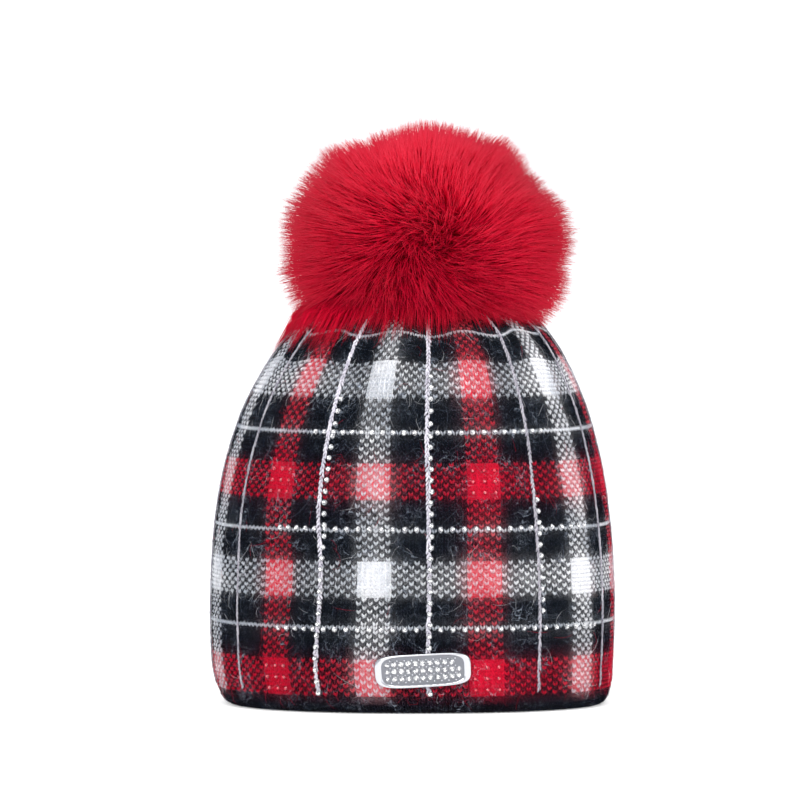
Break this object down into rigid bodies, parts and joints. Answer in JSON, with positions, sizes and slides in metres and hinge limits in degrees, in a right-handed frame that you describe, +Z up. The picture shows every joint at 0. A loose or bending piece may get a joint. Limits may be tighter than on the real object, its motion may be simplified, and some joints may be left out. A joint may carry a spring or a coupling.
{
  "type": "knitted tartan pompom hat",
  "caption": "Soft knitted pull-on hat with a tartan check, raised vertical stitch lines, a large fur pompom and a plain stone-set badge.",
  "frame": {"origin": "middle of the plane that the hem stands on", "axes": "+Z up through the pompom, -Y to the front with the badge, +X to the right seen from the front"},
  "size_m": [0.1784, 0.201, 0.2545],
  "materials": {
    "tartan_knit": "black ground of a black, white and red tartan jersey in brushed yarn",
    "white_yarn": "white brushed yarn in chain stitch",
    "red_yarn": "red brushed yarn",
    "red_fur": "long glossy dyed fur, darker at the roots",
    "button_plastic": "satin",
    "badge_silver": "polished plate with set stones",
    "crystal": "clear cut crystal on foil"
  },
  "bodies": {
    "root": {"crown": "tartan_knit", "overcheck_cord_01": "white_yarn", "overcheck_cord_02": "white_yarn", "overcheck_cord_03": "white_yarn", "overcheck_cord_04": "white_yarn", "overcheck_cord_05": "white_yarn", "overcheck_cord_06": "white_yarn", "overcheck_cord_07": "white_yarn", "overcheck_cord_08": "white_yarn", "overcheck_cord_09": "white_yarn", "overcheck_cord_10": "white_yarn", "overcheck_cord_11": "white_yarn", "overcheck_cord_12": "white_yarn", "pompom": "red_fur", "pompom_button": "button_plastic", "badge": "badge_silver"}
  },
  "joints": []
}
